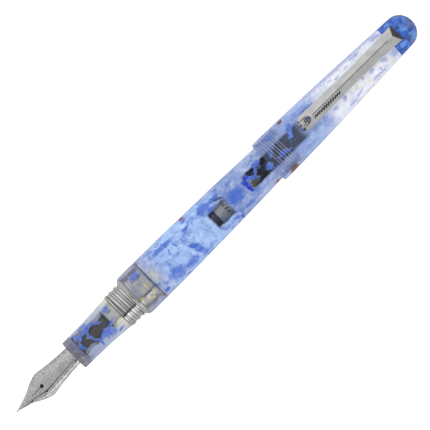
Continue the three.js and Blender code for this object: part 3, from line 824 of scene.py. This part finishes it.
def nib_half(stations, side, columns=72):
    """One half of the nib's upper face, from the slit out to its edge."""
    rows = []
    for s in stations:
        half, crown, curve = nib_row(s)
        opening = nib_inner_edge(s)
        row = []
        for j in range(columns + 1):
            share = j / columns
            angle = math.asin(min(0.999, (opening + (half - opening) * share) / curve))
            r = curve - engraved(s, share) - border_flat(s, angle, curve)
            row.append((s, side * r * math.sin(angle), crown - curve + r * math.cos(angle)))
        rows.append(row)
    return loft(rows, flip=side < 0, caps=False, wrap=False)


def nib_mesh():
    front = int((BREATHER - BREATHER_R - NIB_TIP) / NIB_STEP) + 1
    stations = [NIB_TIP + i * NIB_STEP for i in range(front)]
    stations += [BREATHER - BREATHER_R * math.cos(i / 16 * math.pi) for i in range(17)]
    stations += [BREATHER + BREATHER_R + (i + 1) * NIB_STEP for i in range(90)]
    stations += [25.6, 28.0, 31.0, NIB_REAR]
    stations = sorted({round(s, 4) for s in stations})
    return gather([nib_half(stations, 1), nib_half(stations, -1)])


def weld(piece, distance):
    """Joins points that meet along the middle."""
    mesh = bmesh.new()
    mesh.from_mesh(piece.data)
    bmesh.ops.remove_doubles(mesh, verts=mesh.verts, dist=distance * MM)
    mesh.to_mesh(piece.data)
    mesh.free()


nib = build("nib_sheet", nib_mesh(), "section", "nib", [nib_steel], sharp=60)
weld(nib, 0.004)
solid = nib.modifiers.new("sheet", "SOLIDIFY")
solid.thickness = NIB_THICKNESS * MM
solid.offset = -1
bevel(nib, 0.025, 2, 50)


def pellet_half(side, steps=12):
    """Half of the writing pellet, which the slit splits in two."""
    middle, height = centre("nib_tipping")
    rows = []
    for i in range(steps + 1):
        a = math.pi * i / steps
        row = []
        for k in range(steps + 1):
            b = math.pi * k / steps
            y = side * (0.02 + 0.3 * math.sin(a) * math.sin(b))
            row.append((middle - 0.41 * math.cos(a), y, height + 0.36 * math.sin(a) * math.cos(b)))
        rows.append(row)
    return loft(rows, flip=side > 0, caps=False)


pellet = build("tipping_pellet", gather([pellet_half(1), pellet_half(-1)]), "section", "nib_tipping",
               [steel], sharp=50)
weld(pellet, 0.001)

# Rows of (station, half-width, height of the keel).
FEED_OUTLINE = [
    (6.2, 0.6, 1.5), (9, 1.5, 0.6), (12, 2.2, -0.9), (14.5, 2.7, -2.3), (17, 2.85, -2.85),
    (23, 2.85, -2.85), (34.8, 2.85, -2.85),
]
FIN_PITCH, FIN_GAP, FIN_COUNT = 0.75, 0.28, 15
FIRST_FIN = 10.6
FIN_ROOT = 0.72


def feed_top(s, y):
    """Height of the feed's top, which lies just under the nib."""
    _, crown, curve = nib_row(min(s, NIB_REAR - 0.1))
    inner = curve - NIB_THICKNESS - 0.06
    return crown - curve + math.sqrt(max(0.01, inner**2 - y**2))


def feed_mesh(across=28):
    """The feed, whose keel is cut into fins."""
    marks = []
    for i in range(FIN_COUNT):
        start = FIRST_FIN + i * FIN_PITCH
        end = start + FIN_GAP
        marks += [(start, 1), (start + 0.01, FIN_ROOT), (end, FIN_ROOT), (end + 0.01, 1)]
    marks += [(FEED_OUTLINE[0][0] + k * 0.5, 1) for k in range(9)]
    marks += [(s, 1) for s in (22, 23.4, 24.6, 25.6, 30, FEED_OUTLINE[-1][0])]
    spread = [math.sin((k / across - 0.5) * math.pi) for k in range(across + 1)]
    rows = []
    for s, shrink in sorted(marks):
        half, keel = between(FEED_OUTLINE, s)
        edge = feed_top(s, half)
        row = [(s, half * share, feed_top(s, half * share)) for share in spread]
        for share in spread[-2:0:-1]:
            drop = (keel - edge) * math.sqrt(1 - share**2)
            row.append((s, half * share * shrink, edge + drop * shrink))
        rows.append(row)
    return loft(rows)


build("feed_finned", feed_mesh(), "section", "feed", [black], sharp=35)

# ---------------- converter

CLEAR_BORE = 3.2
mouth_start, mouth_end = span("converter_mouth")
turned("converter_mouth_ring", [
    (mouth_start, 2.2), (mouth_start, 3.6), (mouth_start + 0.3, 3.8), (mouth_end, 3.8),
    (mouth_end, CLEAR_BORE), (48, CLEAR_BORE), (48, 2.2),
], "converter", "converter_mouth", [black])

tube_start, tube_end = span("converter_tube")
turned("converter_tube_clear", [(tube_start, 2.5), (tube_start, 3.1), (tube_end, 3.1), (tube_end, 2.5)],
       "converter", "converter_tube", [clear_tube], reach=0.15)

sleeve_start, sleeve_end = span("converter_sleeve")
SLEEVE_R = 3.65
KNURL_START, KNURL_END = 90.5, 94.5


def knurl(s, r, a):
    """A band of crossed knurling near the sleeve's rear."""
    if r < SLEEVE_R - 0.15 or not KNURL_START < s < KNURL_END:
        return r
    waves = abs(math.sin(a * 26 + s * 4)) + abs(math.sin(a * 26 - s * 4))
    return r - 0.05 * (2 - waves)


turned("converter_sleeve_steel", [
    (sleeve_start, CLEAR_BORE), (sleeve_start, SLEEVE_R), (84.6, SLEEVE_R), (84.7, SLEEVE_R - 0.1),
    (85.0, SLEEVE_R - 0.1), (85.1, SLEEVE_R),
    *run(KNURL_START - 0.1, KNURL_END + 0.1, SLEEVE_R, SLEEVE_R, 56), (sleeve_end, SLEEVE_R),
    (sleeve_end, 2.45), (89.2, 2.45), (89.2, 1.45), (86.8, 1.45), (86.8, CLEAR_BORE),
], "converter", "converter_sleeve", [satin_steel], reach=0.08, segments=208, shape=knurl)

# Generic printed strokes round the sleeve: (station, right) at each end.
SLEEVE_STROKES = [
    (84.0, -2.9, 85.5, -2.2), (85.0, -3.1, 86.2, -2.4), (84.2, -1.5, 85.2, -0.9), (84.6, -0.4, 85.5, 0.3),
    (84.3, 0.9, 86.2, 1.5), (84.5, 2.0, 85.8, 2.7), (85.7, 0.1, 86.3, 0.6),
]
STROKE_HALF = 0.085  # half of a stroke's width, in radians round the sleeve


def printed(stroke):
    s0, right0, s1, right1 = stroke
    a0, a1 = -right0 / SLEEVE_R, -right1 / SLEEVE_R
    middle, turn = (s0 + s1) / 2, (a0 + a1) / 2
    outline = [(s0, a0), (middle, turn - STROKE_HALF), (s1, a1), (middle, turn + STROKE_HALF)]
    return loft([[(s, r * math.sin(a), r * math.cos(a)) for s, a in outline]
                 for r in (SLEEVE_R + 0.014, SLEEVE_R - 0.05)], flip=True)


build("sleeve_print", gather(printed(stroke) for stroke in SLEEVE_STROKES), "converter", None,
      [ink_black], sharp=40)

knob_start, knob_end = span("converter_knob")
KNOB_R = 2.7
SPIGOT_R = 2.35
FLUTES_START = 97.2


def flutes(s, r, a):
    if r < KNOB_R - 0.1 or not FLUTES_START < s < knob_end - 1.2:
        return r
    return r - 0.2 * (0.5 - 0.5 * math.cos(a * 18)) ** 2


turned("converter_knob_black", [
    (119.3, 0), (119.3, 1.5), (knob_start, 1.5), (knob_start, SPIGOT_R), (96.1, SPIGOT_R), (96.1, KNOB_R),
    (FLUTES_START, KNOB_R), (FLUTES_START + 0.05, KNOB_R - 0.02), (119.2, KNOB_R - 0.02), (119.25, KNOB_R),
    (knob_end - 0.4, KNOB_R), (knob_end, KNOB_R - 0.4), (knob_end, 0),
], "knob", "converter_knob", [black], reach=0.15, shape=flutes)

head_start, head_end = span("piston_head")
HEAD_R = 2.4
LIP_R = 2.46
turned("piston_head_spool", [
    (head_start, 0), (head_start, HEAD_R - 0.25), (head_start + 0.25, HEAD_R), (78, HEAD_R), (78, 1.6),
    (80.2, 1.6), (80.2, HEAD_R), (head_end, HEAD_R), (head_end, 0),
], "piston", "piston_head", [black], reach=0.05)
turned("piston_seal_ring", [
    (78.08, 1.7), (78.08, LIP_R), (78.5, LIP_R), (78.7, 2.2), (79.5, 2.2), (79.7, LIP_R), (80.12, LIP_R),
    (80.12, 1.7),
], "piston", "piston_seal", [rubber], reach=0.1)


def rod_mesh(steps=240, sides=40, lead=7.5, flat=0.85):
    """The piston's rod: a coarse screw with two flats that keep it from turning."""
    start, end = span("piston_rod")
    rows = []
    for i in range(steps + 1):
        s = start + (end - start) * i / steps
        row = []
        for k in range(sides):
            a = 2 * math.pi * k / sides
            wave = 0.5 + 0.5 * math.cos(2 * (a - 2 * math.pi * (s - start) / lead))
            r = 1.12 + 0.22 * smooth(wave, 0.45, 0.85) * smooth(s, 83, 84)
            row.append((s, r * math.cos(a), max(-flat, min(flat, r * math.sin(a)))))
        rows.append(row)
    return loft(rows, flip=True)


build("piston_rod_screw", rod_mesh(), "piston", "piston_rod", [black], sharp=40)

# ---------------- cap

cap_start, cap_end = span("cap_tube")
CAP_R = radius("cap_tube")
CAP_TAPER = 105
LINER_SEAT_R = 4.85
LINER_R = 4.75
MOUTH_BORE = 6.35
THREAD_START, THREAD_END = 104.3, 110.4


def cap_outside(s):
    return CAP_R - 0.0077 * max(0, s - CAP_TAPER) ** 1.4


CAP_BASE = [
    (103, (158, 176, 228)), (108, (150, 170, 224)), (113, (160, 186, 242)), (119, (172, 200, 252)),
    (124, (196, 212, 250)), (127.5, (242, 244, 254)), (146, (244, 245, 252)), (152.7, (222, 226, 244)),
]
CAP_COVER = [(103, 0.4), (104.2, 0.3), (110.4, 0.3), (112, 0.58), (124, 0.75), (128, 0.88), (152.7, 0.88)]
CAP_BLUES = [
    (107.8, -4.5, 3.8, 1.0), (113.8, -1.7, 5.2, 1.7, 56), (121.4, -2.9, 5.0, 0.9), (107.6, 1.9, 2.2, 0.7),
    (117.4, 1.0, 1.6, 1.6),
]
CAP_FAINTS_AND_EDGE_SHADE = [
    # Faint blue-lilac marks in the resin; the last, long patch down the left side is painted shade.
    (119.6, -3.8, 8.6, 2.2), (123.7, 4.0, 4.2, 2.4), (142.2, -4.3, 3.8, 1.1), (132.0, -3.9, 1.8, 0.5, -10),
    (134.6, -3.2, 1.6, 0.5), (138.6, -3.4, 1.5, 0.6), (132.1, 3.0, 1.3, 1.6), (139.6, 2.4, 0.8, 0.8),
    (143.0, 2.7, 1.9, 1.2), (147.9, 2.9, 2.0, 1.5), (132.9, 5.4, 2.8, 0.5), (136.4, 4.7, 3.6, 0.5, 12),
    (144.2, 4.9, 4.8, 0.7, 4), (145.4, 3.9, 1.2, 0.8), (115.8, 5.4, 4.0, 0.8), (120.5, 3.2, 4.0, 1.6),
    (128.0, 3.2, 2.0, 0.8), (146.5, -5.0, 6.0, 0.9), (150.5, -3.8, 4.0, 1.4), (151.5, 3.6, 2.6, 1.8),
    (140.0, -5.7, 34.0, 2.2),
]
CAP_WINDOWS = [(109.0, 0.5, 15.6, 5.8)]
CAP_AMBERS = [(113.5, -5.8, 1.9, 1.2), (107.4, 6.7, 3.3, 1.3)]
CAP_PALES = [(107.0, -6.7, 9.0, 1.8), (107.0, 7.0, 9.0, 1.6)]
CAP_STRAWS = [
    (136.8, 3.2, 1.8, 1.2), (149.4, 4.2, 1.6, 1.4), (137.3, -4.3, 1.4, 0.9), (140.5, 4.3, 1.6, 0.8),
]
cap_skin = marbled("cap_resin", 2, CAP_BASE, CAP_COVER, CAP_BLUES, [(AMBER, 1.0, CAP_AMBERS)], CAP_WINDOWS,
                   clear=0.12, blur=0.5, faints=CAP_FAINTS_AND_EDGE_SHADE, pales=CAP_PALES, straws=CAP_STRAWS,
                   scatter=0.12, pale=0.35, haze=0.18)
CAP_BORE_BASE = [
    (103, (160, 178, 226)), (104, (116, 136, 194)), (110.4, (116, 136, 194)), (112, (190, 206, 248)),
    (124, (206, 220, 252)), (128, (240, 242, 252)), (152, (240, 242, 252)),
]
# The cap bore's thread flanks get a painted highlight.
cap_bore = milky("cap_bore", 5, CAP_BORE_BASE, [(103, 0.4), (152, 0.5)], CAP_WINDOWS,
                 clear=0.06, crest=(104.0, 110.3, 6.08, 6.3))
inner_thread = thread(THREAD_START, THREAD_END, 1.8, -0.32)

turned("cap_shell", [
    (cap_start, MOUTH_BORE + 0.05, 0), (cap_start, 6.86), (cap_start + 0.5, CAP_R),
    *run(cap_start + 1.2, 107, CAP_R, CAP_R, 4), *run(108, cap_end, cap_outside, steps=44),
    (cap_end, LINER_SEAT_R, 1), (129.2, LINER_SEAT_R), (129.2, 5.35), *run(128, 111.5, 5.38, 5.82, 8),
    (110.6, 5.84), (110.6, MOUTH_BORE), *run(THREAD_END, THREAD_START, MOUTH_BORE, MOUTH_BORE, 100),
    (103.6, MOUTH_BORE),
], "cap", "cap_tube", [cap_skin, cap_bore], reach=0.2, segments=160,
    shape=lambda s, r, a: inner_thread(s, r, a) if r < MOUTH_BORE + 0.15 else r)

finial_end = span("cap_finial")[1]
FINIAL_FRONT = 152.75
FINIAL_CROWN = 157.3
# Paler flecks in the resin; the first, on the dome, is a painted highlight.
FINIAL_FLECKS_AND_HIGHLIGHT = [
    (158.3, 0.2, 2.4, 2.6), (159.4, 3.6, 3.2, 2.4), (155.0, 3.6, 2.0, 1.2), (160.2, -1.4, 1.2, 2.2),
    (155.4, -3.9, 2.0, 1.0),
]
FINIAL_GREYS = [
    (159.9, 0.5, 1.7, 2.6), (159.2, -3.9, 2.4, 1.0, 25), (157.6, 4.7, 1.6, 0.8), (160.9, -0.8, 0.8, 1.4),
]
FINIAL_DARKS = [
    (157.0, -1.0, 1.5, 0.9), (157.6, 1.4, 0.9, 0.8), (157.6, 3.4, 1.9, 1.5), (160.0, 1.9, 1.2, 0.7),
]


def finial_look():
    look = Look("finial_resin", IOR=1.5)
    at = look.position()
    drift = look.warp(at, (0.45, 2.4), (1.6, 0.8))
    mottle = look.noise(drift, 0.6, 6, 0.65)
    colour = look.mix(look.step(mottle, 0.4, 0.6), linear(30, 72, 168), linear(62, 112, 208))
    # paler flecks, and a painted highlight on the dome
    colour = look.tint(colour, look.spots(drift, FINIAL_FLECKS_AND_HIGHLIGHT, 0.9), 0.7, linear(100, 154, 222))
    colour = look.tint(colour, look.spots(drift, FINIAL_DARKS, 0.7), 0.75, linear(34, 48, 96))
    colour = look.tint(colour, look.spots(drift, FINIAL_GREYS, 0.9), 0.6, linear(112, 124, 158))
    look.set("Base Color", colour)
    look.set("Alpha", look.step(mottle, 0.35, 0.6, 0.9, 1.0))
    look.set("Roughness", look.step(mottle, 0.3, 0.7, 0.06, 0.12))
    return look.material


turned("finial_dome", [
    (154.8, 0), (154.8, 1.35), (149.8, 1.35), (149.8, LINER_R), (FINIAL_FRONT, LINER_R),
    *run(FINIAL_FRONT, FINIAL_CROWN, cap_outside, steps=8),
    *dome(FINIAL_CROWN, finial_end, cap_outside(FINIAL_CROWN), 16),
], "cap", "cap_finial", [finial_look()], reach=0.1)

liner_start, liner_end = span("inner_cap")
turned("inner_cap_liner", [
    (liner_start, 4.2), (liner_start, LINER_R), (liner_end, LINER_R), (liner_end, 0),
    (liner_end - 0.9, 0), (liner_end - 0.9, 3.9), (liner_end - 1.3, 4.2),
], "cap", "inner_cap", [liner], reach=0.15)

washer_start, washer_end = span("cap_washer")
turned("cap_washer_steel", [
    (washer_start, 1.4), (washer_start, LINER_R), (washer_end, LINER_R), (washer_end, 1.4),
], "cap", "cap_washer", [satin_steel], reach=0.1)

screw_start, screw_end = span("finial_screw")
SCREW_R = 1.12
SCREW_HEAD_R = 2.6
screw_thread = thread(149.2, screw_end - 0.2, 0.5, 0.12)
turned("finial_screw_steel", [
    (screw_start + 0.35, 0), (screw_start + 0.35, 0.9), (screw_start, 1.0),
    (screw_start, SCREW_HEAD_R - 0.2), (screw_start + 0.2, SCREW_HEAD_R), (148.7, SCREW_HEAD_R),
    (148.7, SCREW_R), *run(149.2, screw_end - 0.2, SCREW_R, SCREW_R, 60), (screw_end, 1.0), (screw_end, 0),
], "cap", "finial_screw", [steel], reach=0.08, segments=72,
    shape=lambda s, r, a: screw_thread(s, r, a) if r < SCREW_R + 0.08 and s > 149 else r)

# ---------------- clip

# Rows of (station, half-width, height of the underside, height of the ridge).
CLIP_OUTLINE = [
    (117, 1.5, 7.9, 9.2), (117.4, 1.95, 7.75, 9.4), (118.3, 2.35, 7.6, 9.6), (121, 2.42, 7.6, 9.5),
    (124, 2.35, 7.95, 9.3), (135, 2.1, 7.45, 8.85), (148, 2.2, 6.85, 8.2), (153, 2.5, 6.6, 7.95),
    (156.1, 2.75, 6.4, 7.8),
]
CLIP_FALL = 0.6  # from the ridge down to the edges
CLIP_SHARP = 20
HIP = 154.3
HIP_END = 156.2
FORK_START, FORK_END, FORK_HALF = 115, 120.5, 1.05
INLAY_START, INLAY_STEP, INLAY_MARKS = 121.6, 0.62, 51


def combine(piece, other, operation):
    """Cuts other out of piece or joins it on, and removes it."""
    change = piece.modifiers.new("cut", "BOOLEAN")
    change.object = other
    change.operation = operation
    change.solver = "EXACT"
    graph = bpy.context.evaluated_depsgraph_get()
    result = bpy.data.meshes.new_from_object(piece.evaluated_get(graph))
    piece.modifiers.clear()
    piece.data = result
    bpy.data.objects.remove(other)


def clip_shape():
    stations = [117, 117.1, 117.3, 117.6, 118, 118.5, 119.2, 120, 121] + [122 + i for i in range(33)]
    rows = []
    for s in stations + [155.2, 156.1]:
        half, under, ridge = between(CLIP_OUTLINE, s)
        if s < 118.5:
            half = 2.37 * math.sqrt(max(0.4, 1 - ((118.6 - s) / 1.9) ** 2))
        edge = ridge - CLIP_FALL
        rows.append([(s, -half, edge), (s, 0, ridge), (s, half, edge), (s, half, under), (s, 0, under),
                     (s, -half, under)])
    return loft(rows)


def leg_shape():
    """The post that holds the clip to the cap."""
    return loft([[(s, -1, 7.2), (s, 1, 7.2), (s, 1, 4.9), (s, -1, 4.9)] for s in (150.3, 151.7)])


def fork_shape(sides=24):
    """The slot the roller runs in: open at the front, with a round inner end and a flared rim."""
    rows = []
    for z, wide in ((6, 0), (9.02, 0), (9.52, 0.4), (11, 1.0)):
        wide += FORK_HALF
        row = [(FORK_START, wide, z), (FORK_START, -wide, z)]
        for k in range(sides + 1):
            a = math.pi * k / sides
            row.append((FORK_END - FORK_HALF + wide * math.sin(a), -wide * math.cos(a), z))
        rows.append(row)
    return loft(rows, flip=True)


def hip_shape():
    """The wedge taken off the clip's rear, which leaves a triangular facet."""
    outline = ((HIP, 7.89), (HIP_END, 6.95), (HIP_END, 9.5), (HIP, 9.5))
    return loft([[(s, y, z) for s, z in outline] for y in (-4, 4)])


clip = build("clip_blade", clip_shape(), "clip", "clip", [steel], sharp=CLIP_SHARP)
combine(clip, block("leg", leg_shape()), "UNION")
combine(clip, block("fork", fork_shape()), "DIFFERENCE")
combine(clip, block("hip", hip_shape()), "DIFFERENCE")
soften(clip, CLIP_SHARP)
bevel(clip, 0.07, 3, 12)


def inlay_shape():
    """The dark engraved line along the clip's ridge, filled flush."""
    rows = []
    for i in range(INLAY_MARKS):
        s = INLAY_START + i * INLAY_STEP
        wide, _, ridge = between(CLIP_OUTLINE, s)
        half = 0.11 if 0 < i < INLAY_MARKS - 1 else 0.03
        top = ridge + 0.012
        fall = CLIP_FALL / wide * half
        rows.append([(s, -half, top - fall), (s, 0, top - fall * 0.4), (s, half, top - fall),
                     (s, 0, ridge - 0.15)])
    return loft(rows)


build("clip_inlay", inlay_shape(), "clip", None, [inlay_grey], sharp=40)


def engraved_stroke(s0, y0, s1, y1, wide):
    """One filled stroke on the clip's left face, pointed at both ends."""
    along = Vector((s1 - s0, y1 - y0))
    side = Vector((-along.y, along.x)).normalized() * wide / 2
    start, end = Vector((s0, y0)), Vector((s1, y1))
    near, far = start + along * 0.2, start + along * 0.7
    outline = [start, near + side, far + side, end, far - side, near - side]
    rows = []
    for lift in (0.012, -0.08):
        row = []
        for s, y in outline:
            half, _, ridge = between(CLIP_OUTLINE, s)
            row.append((s, y, ridge - CLIP_FALL * abs(y) / half + lift))
        rows.append(row)
    return loft(rows, flip=True)


def rope(turns=12, pitch=0.9, middle=-0.95):
    """A generic rope beside the ridge: broad strokes one way and fine ones back, widest halfway along."""
    strokes = []
    for i in range(turns):
        s = INLAY_START + i * pitch
        swell = 0.35 + 0.33 * math.sin(math.pi * (i + 0.5) / turns)
        strokes.append(engraved_stroke(s, middle - swell, s + pitch, middle + swell, 0.4))
        if i < turns - 1:
            strokes.append(engraved_stroke(s + 0.8, middle + swell, s + 1.0, middle - swell, 0.22))
    return gather(strokes)


build("clip_motif", rope(), "clip", None, [ink_black], sharp=40)


def across_pin(name, node, profile, closed, body):
    """A wheel or pin turned about an axis across the pen, centred on its CAD node."""
    middle, height = centre(node)
    points, faces, zones = lathe(rounded(profile, 0.08, closed), 96, closed)
    points = [(middle + z, s, height + y) for s, y, z in points]
    build(name, (points, faces), body, node, [steel], zones, 35)


WHEEL_R, WHEEL_HALF, WHEEL_BORE = 1.6, 0.95, 0.45
PIN_R, PIN_HALF = 0.4, 2.1
across_pin("clip_roller_wheel", "clip_roller", [
    (-WHEEL_HALF, WHEEL_BORE), (-WHEEL_HALF, WHEEL_R - 0.3), (-WHEEL_HALF + 0.08, WHEEL_R - 0.2),
    (-WHEEL_HALF + 0.5, WHEEL_R), (WHEEL_HALF - 0.5, WHEEL_R), (WHEEL_HALF - 0.08, WHEEL_R - 0.2),
    (WHEEL_HALF, WHEEL_R - 0.3), (WHEEL_HALF, WHEEL_BORE),
], True, "roller")
across_pin("roller_axle", "roller_pin", [
    (-PIN_HALF, 0), (-PIN_HALF, PIN_R), (PIN_HALF, PIN_R), (PIN_HALF, 0),
], False, "clip")

# ---------------- floor, light and camera

FLOOR_HALF = 6.0
FLOOR_DROP = 0.00007  # the round pieces reach just below the CAD's flats
floor_mesh = bpy.data.meshes.new("floor")
floor_mesh.from_pydata([(x * FLOOR_HALF, y * FLOOR_HALF, -FLOOR_DROP) for x, y in
                        ((-1, -1), (1, -1), (1, 1), (-1, 1))], [], [(0, 1, 2, 3)])
floor_look = Look("floor_white", Base_Color=(0.72, 0.72, 0.72, 1), Roughness=0.7)
floor_look.set("Emission Color", (1, 1, 1, 1))
seen = floor_look.node("LightPath", out="Is Camera Ray")
floor_look.set("Emission Strength", floor_look.times(seen, 0.9))
floor_mesh.materials.append(floor_look.material)
floor = put("floor", floor_mesh)

# The studio: (degrees from overhead towards the pen's right, brightness). A soft grey ceiling, a bright
# panel low on the right with a dark gap above it, and a paler wall on the left.
STUDIO = [
    (-180, 0.9), (-100, 0.9), (-88, 1.0), (-60, 0.95), (-35, 0.9), (-18, 0.8), (0, 0.72), (25, 0.7),
    (41.2, 0.55), (42.4, 0.02), (52.6, 0.02), (54.2, 1.4), (62, 1.6), (80, 1.2), (96, 0.95), (180, 0.9),
]
PEAK = 3.0
STRIP = 14.0
DIFFUSE_FILL = 1.64
world = bpy.data.worlds.new("studio")
world.use_nodes = True
bpy.context.scene.world = world
studio = Nodes(world.node_tree)
forward, left, up = studio.split(studio.node("TexCoord"))
angle = studio.math("ARCTAN2", studio.times(left, -1.0), up)
ceiling = studio.along(angle, [(math.radians(degrees), value / PEAK) for degrees, value in STUDIO])
# Along the pen the ceiling ends in darkness, with a short bright strip in it ahead of the nib.
ends = studio.step(studio.math("ABSOLUTE", forward), 0.64, 0.72, 1.0, 0.14)
below = studio.node("MapRange", up, 0.0, 0.12, 1.0, 0.0)
keep = studio.times(studio.most(ends, below), PEAK)
strip = studio.node("MapRange", studio.math("ABSOLUTE", angle), 0.05, 0.08, 1.0, 0.0)
near = studio.node("MapRange", forward, -0.72, -0.76, 0.0, 1.0)
far = studio.node("MapRange", forward, -0.88, -0.92, 1.0, 0.0)
strip = studio.times(strip, studio.times(near, far))
keep = studio.node("Math", strip, STRIP, keep, operation="MULTIPLY_ADD")
keep = studio.times(keep, studio.lerp(studio.node("LightPath", out="Is Diffuse Ray"), 1.0, DIFFUSE_FILL))
bright = studio.node("VectorMath", ceiling, named={"Scale": keep}, operation="SCALE")
studio.join(world.node_tree.nodes["Background"].inputs["Color"], bright)

bpy.context.scene.view_settings.view_transform = "Standard"

TILT = math.radians(5.5)  # the camera stands a little to the pen's right of overhead
SLOPE = math.radians(44.76)  # the pen's slope across the picture
FRAME_WIDTH = 0.1252
DISTANCE = 1.6
SENSOR = 36
forwards = Vector((1, 0, 0))
to_right = Vector((0, -math.cos(TILT), -math.sin(TILT)))
look_down = Vector((0, math.sin(TILT), -math.cos(TILT)))
cam_x = forwards * math.cos(SLOPE) + to_right * math.sin(SLOPE)
cam_y = forwards * math.sin(SLOPE) - to_right * math.cos(SLOPE)
eye = Vector(place(81.34, 0.14, 0.0)) - look_down * DISTANCE
camera_data = bpy.data.cameras.new("camera")
camera_data.sensor_width = SENSOR
camera_data.lens = SENSOR * DISTANCE / FRAME_WIDTH
camera_data.clip_end = 50
camera = put("camera", camera_data)
rotation = Matrix((cam_x, cam_y, -look_down)).transposed().to_4x4()
camera.matrix_world = Matrix.Translation(eye) @ rotation
bpy.context.scene.camera = camera
